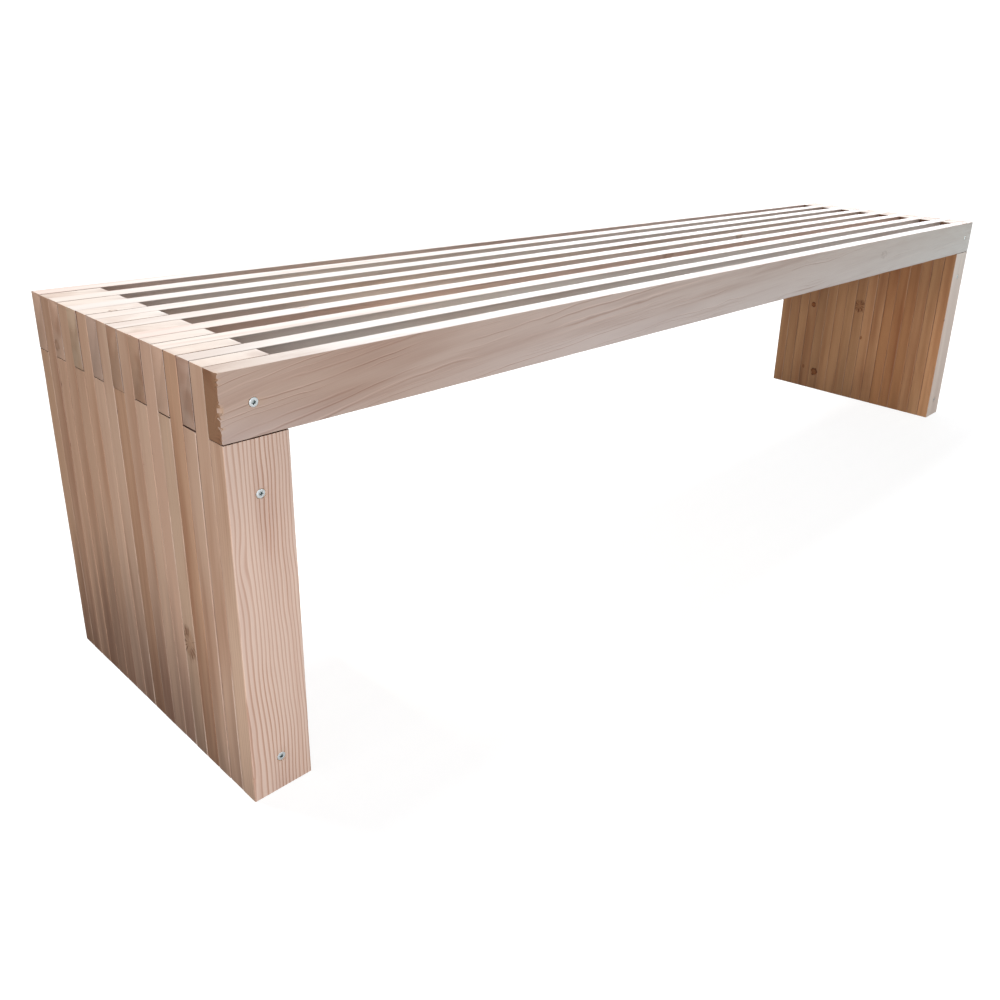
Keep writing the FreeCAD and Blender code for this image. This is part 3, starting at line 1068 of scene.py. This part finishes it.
class Plank:
    """A sawn and planed plank: its box in the frame, its axes and the marks that the tools left on it."""

    def __init__(self, node, along, across, top_gap=0.0):
        """Draws the plank's own unevenness from a seed that its name gives."""
        sizes = bpy.context.scene.bench_planks
        draw = random.Random(node + " shape")
        self.node = node
        self.along = along
        self.across = across
        self.low, self.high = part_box(node)
        self.middle = (self.low + self.high) / 2
        self.bevel = sizes.end_bevel
        self.edge_radius = sizes.edge_radius
        self.station_step = sizes.station_step
        self.torn = node == FRONT_SLAT
        setback = CHOSEN_SETBACKS.get(node, draw.uniform(0.0, sizes.end_setback))
        self.start = self.low[along] + setback * (along == X)
        stop = self.high[along] - draw.uniform(0.0, sizes.end_setback)
        stop -= top_gap * draw.uniform(*SEAT_GAP_SHARES)
        self.length = stop - self.start
        half = (self.high - self.low) / 2
        self.half_across = half[across] - draw.uniform(*NARROWER_SHARES) * sizes.end_setback * (along == Z)
        self.half_through = half[Y] - CHOSEN_GAPS.get(node, draw.uniform(0.0, sizes.joint_gap))
        self.seed = draw.uniform(0.0, PLANK_SEEDS)
        self.nicks = []
        for _ in range(sizes.nick_count):
            place = draw.uniform(*NICK_PLACE_SHARES) * self.length
            self.nicks.append((place, draw.randrange(len(CORNER_SIDES)), draw.uniform(*NICK_DEPTHS)))

    def radius(self, corner, place):
        """The rounding of one long edge at a place along the plank."""
        wave = noise.noise((place * EDGE_WAVES, corner * EDGE_APART, self.seed))
        radius = self.edge_radius * max(EDGE_LEAST_SHARE, EDGE_MEAN_SHARE + EDGE_SWING_SHARE * wave)
        for nick_place, nick_corner, depth in self.nicks:
            if nick_corner == corner:
                radius += depth * math.exp(-((place - nick_place) / NICK_WIDTH) ** 2)
        return radius

    def outline(self, place, inset):
        """Points round the cross-section as across and through, each corner rounded by its own radius."""
        wide_shares = WIDE_FACE_SHARES
        if self.torn:
            wide_shares = [(i + 0.5) / TORN_FACE_STEPS for i in range(TORN_FACE_STEPS)]
        arcs = []
        for corner, (across_side, through_side) in enumerate(CORNER_SIDES):
            radius = self.radius(corner, place)
            centre_across = across_side * (self.half_across - inset - radius)
            centre_through = through_side * (self.half_through - inset - radius)
            arc = []
            for step in range(CORNER_STEPS + 1):
                turn = math.pi + (corner + step / CORNER_STEPS) * math.pi / 2
                across = centre_across + radius * math.cos(turn)
                through = centre_through + radius * math.sin(turn)
                arc.append((across, through))
            arcs.append(arc)
        points = []
        for corner, arc in enumerate(arcs):
            points += arc
            start = arc[-1]
            stop = arcs[(corner + 1) % len(arcs)][0]
            for share in (NARROW_FACE_SHARES if corner % 2 else wide_shares):
                points.append(tuple(a + (b - a) * share for a, b in zip(start, stop)))
        return points

    def section(self, place, inset=0.0):
        """The cross-section's points in the frame."""
        points = []
        for across, through in self.outline(place, inset):
            point = Vector()
            point[self.along] = self.start + place
            point[self.across] = self.middle[self.across] + across
            point[Y] = self.middle[Y] + through
            points.append(self.splintered(point))
        return points

    def splintered(self, point):
        """A point pushed back from the torn edge, if the plank has one."""
        if not self.torn:
            return point
        nearness = max(0.0, 1.0 - (point.y - self.low.y) / TEAR_REACH)
        push = TEAR_DEPTH * tear_share(point.z) * nearness - (point.x - self.start)
        if push > 0.0:
            point += Vector((push, push * TEAR_SLANT_SHARE, 0.0))
        return point

    def stations(self):
        """Places of the cross-sections: even steps, and more at each nick and at a torn end."""
        steps = max(LEAST_STATIONS, round(self.length / self.station_step))
        inner = self.length - 2 * self.bevel
        places = [self.bevel + inner * i / steps for i in range(steps + 1)]
        for nick_place, _, _ in self.nicks:
            places += [nick_place + share * NICK_WIDTH for share in NICK_STATION_SHARES]
        if self.torn:
            places += [self.bevel + offset for offset in TEAR_STATIONS]
        return sorted(place for place in places if self.bevel <= place <= self.length - self.bevel)

    def mesh(self):
        """The plank as one closed mesh."""
        loops = [self.section(0.0, self.bevel)]
        loops += [self.section(place) for place in self.stations()]
        loops.append(self.section(self.length, self.bevel))
        if self.torn:
            loops.insert(0, self.section(0.0, TEAR_REACH))
        shape = bmesh.new()
        rows = [[shape.verts.new(point) for point in loop] for loop in loops]
        join_rows(shape, rows)
        shape.faces.new(rows[0])
        shape.faces.new(rows[-1])
        return finished_mesh(shape, self.node + "_wood")

    def holes(self):
        """Screw places that lie on this plank's front."""
        if self.low.y > SLAT_LOW.y:
            return []
        places = [place for end in ENDS for place in screw_places(end)]
        return [(x, z) for x, z in places if self.low.x < x < self.high.x and self.low.z < z < self.high.z]


# Meshes

def join_rows(shape, rows):
    """Faces between rows of points that each go once round."""
    for first, second in zip(rows, rows[1:]):
        for i in range(len(first)):
            j = (i + 1) % len(first)
            shape.faces.new((first[i], first[j], second[j], second[i]))


def finished_mesh(shape, name):
    """A mesh from finished edits, with its faces turned outwards."""
    bmesh.ops.recalc_face_normals(shape, faces=shape.faces)
    mesh = bpy.data.meshes.new(name)
    shape.to_mesh(mesh)
    shape.free()
    return mesh


def sharpen(mesh, degrees):
    """Smooth shading that stops at edges sharper than an angle."""
    mesh.shade_smooth()
    mesh.set_sharp_from_angle(angle=math.radians(degrees))


def turns():
    """Angles of the points round a turned piece."""
    return [math.tau * side / SCREW_SIDES for side in range(SCREW_SIDES)]


def round_outline(radius):
    """The same radius all round."""
    return [radius] * SCREW_SIDES


def star_outline(radius, turn_by):
    """Radii round a recess with rounded points."""
    lobes = [STAR_LOBE_SHARE * math.cos(STAR_POINTS * (turn - turn_by)) for turn in turns()]
    return [radius * (STAR_SHARE + lobe) for lobe in lobes]


def ragged_outline(radius, share, seed):
    """Radii round a hole whose fibres were crushed unevenly."""
    spots = [(math.cos(turn) * RAGGED_WAVES, math.sin(turn) * RAGGED_WAVES, seed) for turn in turns()]
    return [radius * (1.0 + share * noise.noise(spot)) for spot in spots]


def turned_rows(shape, x, z, front, rings):
    """Rows of points round an axis through the front; each ring is an outline and its depth."""
    rows = []
    for outline, depth in rings:
        row = []
        for turn, radius in zip(turns(), outline):
            point = (x + radius * math.cos(turn), front + depth, z + radius * math.sin(turn))
            row.append(shape.verts.new(point))
        rows.append(row)
    return rows


def close_rows(shape, rows):
    """Joins the rows of a turned piece and closes both of its ends."""
    join_rows(shape, rows)
    for row in (rows[0], rows[-1]):
        centre = shape.verts.new(sum((vertex.co for vertex in row), Vector()) / SCREW_SIDES)
        for i in range(SCREW_SIDES):
            shape.faces.new((row[i], row[(i + 1) % SCREW_SIDES], centre))


def drilled(mesh, places):
    """Cuts a countersunk hole with a crushed rim out of a plank for each screw."""
    crush = bpy.context.scene.bench_screws.crush_width
    bore = HEAD_RADIUS * SHANK_SHARE * HOLE_ROOM_SHARE
    head_depth = HEAD_SINK + HEAD_RADIUS * HEAD_DEPTH_SHARE
    shape = bmesh.new()
    for x, z in places:
        seed = random.Random(f"hole {x:.3f} {z:.3f}").uniform(0.0, HOLE_SEEDS)
        rings = [
            (ragged_outline(HEAD_RADIUS + 2 * crush, RAGGED_MOUTH_SHARE, seed), -crush),
            (ragged_outline(HEAD_RADIUS + crush, RAGGED_RIM_SHARE, seed), crush),
            (round_outline(bore), head_depth),
            (round_outline(bore), SCREW_LENGTH + crush)]
        close_rows(shape, turned_rows(shape, x, z, SLAT_LOW.y, rings))
    cutter = bpy.data.objects.new("drill", finished_mesh(shape, "drill"))
    plank = bpy.data.objects.new("plank", mesh)
    for piece in (cutter, plank):
        bpy.context.scene.collection.objects.link(piece)
    modifier = plank.modifiers.new("holes", "BOOLEAN")
    modifier.object = cutter
    modifier.operation = "DIFFERENCE"
    modifier.solver = "EXACT"
    result = bpy.data.meshes.new_from_object(plank.evaluated_get(bpy.context.evaluated_depsgraph_get()))
    for piece in (cutter, plank):
        bpy.data.objects.remove(piece)
    return result


def carry_grain(mesh, plank, timber):
    """Gives every point its place in the log, how near it is to a long edge and how torn its fibres are."""
    along, across = plank.along, plank.across
    half = (plank.high - plank.low) / 2
    holes = plank.holes()
    crushed_reach = HEAD_RADIUS + 2 * bpy.context.scene.bench_screws.crush_width
    offset = random.Random(plank.node + " log").uniform(0.0, LOG_SEEDS)
    grain = []
    edge = []
    torn = []
    for vertex in mesh.vertices:
        spot = vertex.co
        place = spot - plank.middle
        flare = timber.flare * math.exp((plank.start - spot[along]) / FLARE_REACH)
        grain.append(place[across] + timber.heart_across + timber.lean_across * place[along] + flare)
        grain.append(place[Y] + timber.heart_through + timber.lean_through * place[along])
        grain.append(spot[along] + offset)
        inset = max(half[across] - abs(place[across]), half[Y] - abs(place[Y]))
        edge.append(max(0.0, 1.0 - inset / WEAR_REACH))
        damage = 0.0
        if any(math.hypot(spot.x - x, spot.z - z) < crushed_reach for x, z in holes):
            damage = CRUSHED_SHARE
        if plank.torn and spot.y < plank.low.y + TEAR_REACH and spot.x < plank.low.x + TEAR_REACH:
            damage = tear_share(spot.z)
        torn.append(damage)
    mesh.attributes.new("grain", "FLOAT_VECTOR", "POINT").data.foreach_set("vector", grain)
    mesh.attributes.new("edge", "FLOAT", "POINT").data.foreach_set("value", edge)
    mesh.attributes.new("torn", "FLOAT", "POINT").data.foreach_set("value", torn)


def add_piece(name, mesh, material, node):
    """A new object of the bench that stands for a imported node."""
    piece = bpy.data.objects.new(name, mesh)
    bpy.context.scene.collection.objects.link(piece)
    mesh.materials.clear()
    mesh.materials.append(material)
    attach(piece, "root")
    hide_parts(node)
    return piece


def dress_plank(plank, slot):
    """Makes the plank's object, with its log, tone and knots on it."""
    node = plank.node
    timber = timber_of(node)
    mesh = plank.mesh()
    if plank.holes():
        mesh = drilled(mesh, plank.holes())
    carry_grain(mesh, plank, timber)
    sharpen(mesh, WOOD_CREASE)
    material = wood_material("planed_" + slot, plank.along, plank.across)
    piece = add_piece(node + "_wood", mesh, material, node)
    piece["cut"] = (timber.ring_width, timber.waviness, timber.unevenness)
    piece["lines"] = (timber.contrast, timber.sharpness, wear_of(node))
    # Amounts of bleaching, painted highlight, sheen and bounce light, and foot shade
    piece["weather"] = weather_of(plank)
    piece["tone"] = tone_of(node)
    piece["end_tone"] = end_tone_of(node)
    knots = (CHOSEN_KNOTS.get(node, []) + [NO_KNOT] * KNOTS_PER_PLANK)[:KNOTS_PER_PLANK]
    for index, knot in enumerate(knots):
        piece[f"knot_{index + 1}"] = knot.place
    for measure in KNOT_MEASURES:
        piece["knot_" + measure] = (*(getattr(knot, measure) for knot in knots), 0.0)


def screw_mesh(node, places):
    """Countersunk screws with a star recess, sunk in the front."""
    radius = HEAD_RADIUS
    recess = radius * RECESS_DEPTH_SHARE
    shape = bmesh.new()
    mark = shape.verts.layers.float.new("recess")
    for x, z in places:
        turn_by = random.Random(f"{node} {z:.3f}").uniform(0.0, math.tau)
        rings = [
            (star_outline(radius * STAR_FLOOR_SHARE, turn_by), recess),
            (star_outline(radius * STAR_WALL_SHARE, turn_by), recess * RECESS_BEVEL_SHARE),
            (star_outline(radius * STAR_MOUTH_SHARE, turn_by), 0.0),
            (round_outline(radius * FACE_SHARE), 0.0),
            (round_outline(radius * RIM_SHARE), radius * RIM_DROP_SHARE),
            (round_outline(radius), radius * EDGE_DROP_SHARE),
            (round_outline(radius * SHANK_SHARE), radius * HEAD_DEPTH_SHARE),
            (round_outline(radius * SHANK_SHARE), SCREW_LENGTH - radius * POINT_SHARE),
            (round_outline(radius * TIP_SHARE), SCREW_LENGTH)]
        rows = turned_rows(shape, x, z, SCREW_LOW.y, rings)
        for vertex in rows[0] + rows[1]:
            vertex[mark] = 1.0
        close_rows(shape, rows)
    mesh = finished_mesh(shape, node + "_zinc")
    sharpen(mesh, ZINC_CREASE)
    return mesh


# Studio

def seen_and_unseen(nodes, unseen, seen):
    """One shader as the camera sees it, and another for the light that it throws on the bench."""
    camera_ray = nodes.field("LightPath", output="Is Camera Ray")
    return nodes.field("MixShader", {0: camera_ray, 1: unseen, 2: seen})


def make_floor(settings):
    """A wide pale floor just under the bench."""
    half = settings.floor_size / 2
    mesh = bpy.data.meshes.new("floor")
    corners = [(half * x_side, half * y_side, 0.0) for x_side, y_side in CORNER_SIDES]
    mesh.from_pydata(corners, [], [range(len(corners))])
    floor = bpy.data.objects.new("floor", mesh)
    bpy.context.scene.collection.objects.link(floor)
    material, nodes, shader = new_material("pale_floor")
    nodes.tree.nodes.remove(shader)
    shaded = nodes.field("BsdfDiffuse", {"Color": settings.floor_colour})
    glow = nodes.field("Emission", {"Strength": settings.floor_glow})
    seen = nodes.field("AddShader", {0: shaded, 1: glow})
    unseen = nodes.field("BsdfDiffuse", {"Color": settings.bounce_colour})
    nodes.wire(nodes.tree.nodes["Material Output"].inputs["Surface"], seen_and_unseen(nodes, unseen, seen))
    mesh.materials.append(material)


def make_sky(settings):
    """White behind the floor, and a dim even light."""
    world = bpy.data.worlds.new("studio")
    world.use_nodes = True
    nodes = Nodes(world.node_tree)
    nodes.tree.nodes.clear()
    seen = nodes.field("Background", {"Color": WHITE, "Strength": settings.backdrop_strength})
    unseen = nodes.field("Background", {"Color": WHITE, "Strength": settings.ambient_strength})
    output = nodes.add("OutputWorld", {"Surface": seen_and_unseen(nodes, unseen, seen)})
    output.is_active_output = True
    bpy.context.scene.world = world


def turned(degrees):
    """A rotation from degrees about each axis."""
    return Euler([math.radians(angle) for angle in degrees])


def soft_box(box, settings):
    """A rectangle of light that faces a point of the bench."""
    data = bpy.data.lights.new(box.name, "AREA")
    data.shape = "RECTANGLE"
    data.size, data.size_y = box.size
    data.energy = getattr(settings, box.power)
    data.color = getattr(settings, box.colour)
    light = bpy.data.objects.new(box.name, data)
    light.location = box.place
    light.visible_camera = False
    light.rotation_euler = (Vector(box.target) - Vector(box.place)).to_track_quat("-Z", "Y").to_euler()
    bpy.context.scene.collection.objects.link(light)


def make_lights(settings):
    """A broad light overhead, and the soft boxes."""
    data = bpy.data.lights.new("overhead", "SUN")
    data.energy = settings.top_strength
    data.angle = math.radians(OVERHEAD_SPREAD)
    light = bpy.data.objects.new("overhead", data)
    light.rotation_euler = turned(OVERHEAD_TURN)
    bpy.context.scene.collection.objects.link(light)
    for box in SOFT_BOXES:
        soft_box(box, settings)


def make_camera(scene):
    """The camera where the photograph was taken."""
    data = bpy.data.cameras.new("camera")
    data.lens = CAMERA_LENS
    data.sensor_width = CAMERA_SENSOR
    data.shift_x, data.shift_y = CAMERA_SHIFT_SHARES
    camera = bpy.data.objects.new("camera", data)
    camera.location = CAMERA_PLACE
    camera.rotation_euler = turned(CAMERA_TURN)
    scene.collection.objects.link(camera)
    scene.camera = camera
    scene.view_settings.view_transform = "Standard"


# Operators, panel and settings

class BENCH_OT_seat_slats(bpy.types.Operator):
    """Lays the slats of the seat on edge"""

    bl_idname = "bench.seat_slats"
    bl_label = "Seat slats"

    def execute(self, context):
        for node in SLAT_NODES:
            dress_plank(Plank(node, X, Z), "slat_wood")
        return {"FINISHED"}


class BENCH_OT_tall_legs(bpy.types.Operator):
    """Stands the tall leg planks between the slats"""

    bl_idname = "bench.tall_legs"
    bl_label = "Tall legs"

    def execute(self, context):
        for node in TALL_NODES:
            dress_plank(Plank(node, Z, X), "leg_wood")
        return {"FINISHED"}


class BENCH_OT_short_legs(bpy.types.Operator):
    """Stands the short leg planks under the slats"""

    bl_idname = "bench.short_legs"
    bl_label = "Short legs"

    def execute(self, context):
        gap = context.scene.bench_planks.seat_gap
        for node in SHORT_NODES:
            dress_plank(Plank(node, Z, X, top_gap=CHOSEN_SEAT_GAPS.get(node, gap)), "leg_wood")
        return {"FINISHED"}


class BENCH_OT_screws(bpy.types.Operator):
    """Drives the screws into the front of both ends"""

    bl_idname = "bench.screws"
    bl_label = "Front screws"

    def execute(self, context):
        for end, node in zip(ENDS, SCREW_NODES):
            mesh = screw_mesh(node, screw_places(end))
            piece = add_piece(node + "_zinc", mesh, zinc_material(), node)
            piece["dust"] = SCREW_DUST_SHARES[end]
        return {"FINISHED"}


class BENCH_OT_stage(bpy.types.Operator):
    """Sets the pale floor, the soft lights and the camera"""

    bl_idname = "bench.stage"
    bl_label = "Studio"

    def execute(self, context):
        settings = context.scene.bench_stage
        make_floor(settings)
        make_sky(settings)
        make_lights(settings)
        make_camera(context.scene)
        return {"FINISHED"}


class BENCH_PT_panel(bpy.types.Panel):
    """Lists the bench's operators and settings"""

    bl_idname = "BENCH_PT_panel"
    bl_label = "Slatted Bench"
    bl_space_type = "VIEW_3D"
    bl_region_type = "UI"
    bl_category = "Bench"

    def draw(self, context):
        for operator in OPERATORS:
            self.layout.operator(operator.bl_idname)
        for name in SETTINGS:
            group = getattr(context.scene, name)
            for key in group.bl_rna.properties.keys():
                if key not in ("rna_type", "name"):
                    self.layout.prop(group, key)


OPERATORS = (BENCH_OT_seat_slats, BENCH_OT_tall_legs, BENCH_OT_short_legs, BENCH_OT_screws, BENCH_OT_stage)
SETTINGS = {
    "bench_planks": PlankProperties,
    "bench_wood": WoodProperties,
    "bench_screws": ScrewProperties,
    "bench_stage": StageProperties,
}
CLASSES = (*SETTINGS.values(), *OPERATORS, BENCH_PT_panel)


def register():
    """Adds the classes and the scene's settings."""
    for one in CLASSES:
        bpy.utils.register_class(one)
    for name, group in SETTINGS.items():
        setattr(bpy.types.Scene, name, PointerProperty(type=group))


def unregister():
    """Takes the settings and the classes away again."""
    for name in SETTINGS:
        delattr(bpy.types.Scene, name)
    for one in reversed(CLASSES):
        bpy.utils.unregister_class(one)


def main():
    """Dresses the whole bench."""
    register()
    bpy.ops.bench.seat_slats()
    bpy.ops.bench.tall_legs()
    bpy.ops.bench.short_legs()
    bpy.ops.bench.screws()
    bpy.ops.bench.stage()


if __name__ == "__main__":
    main()
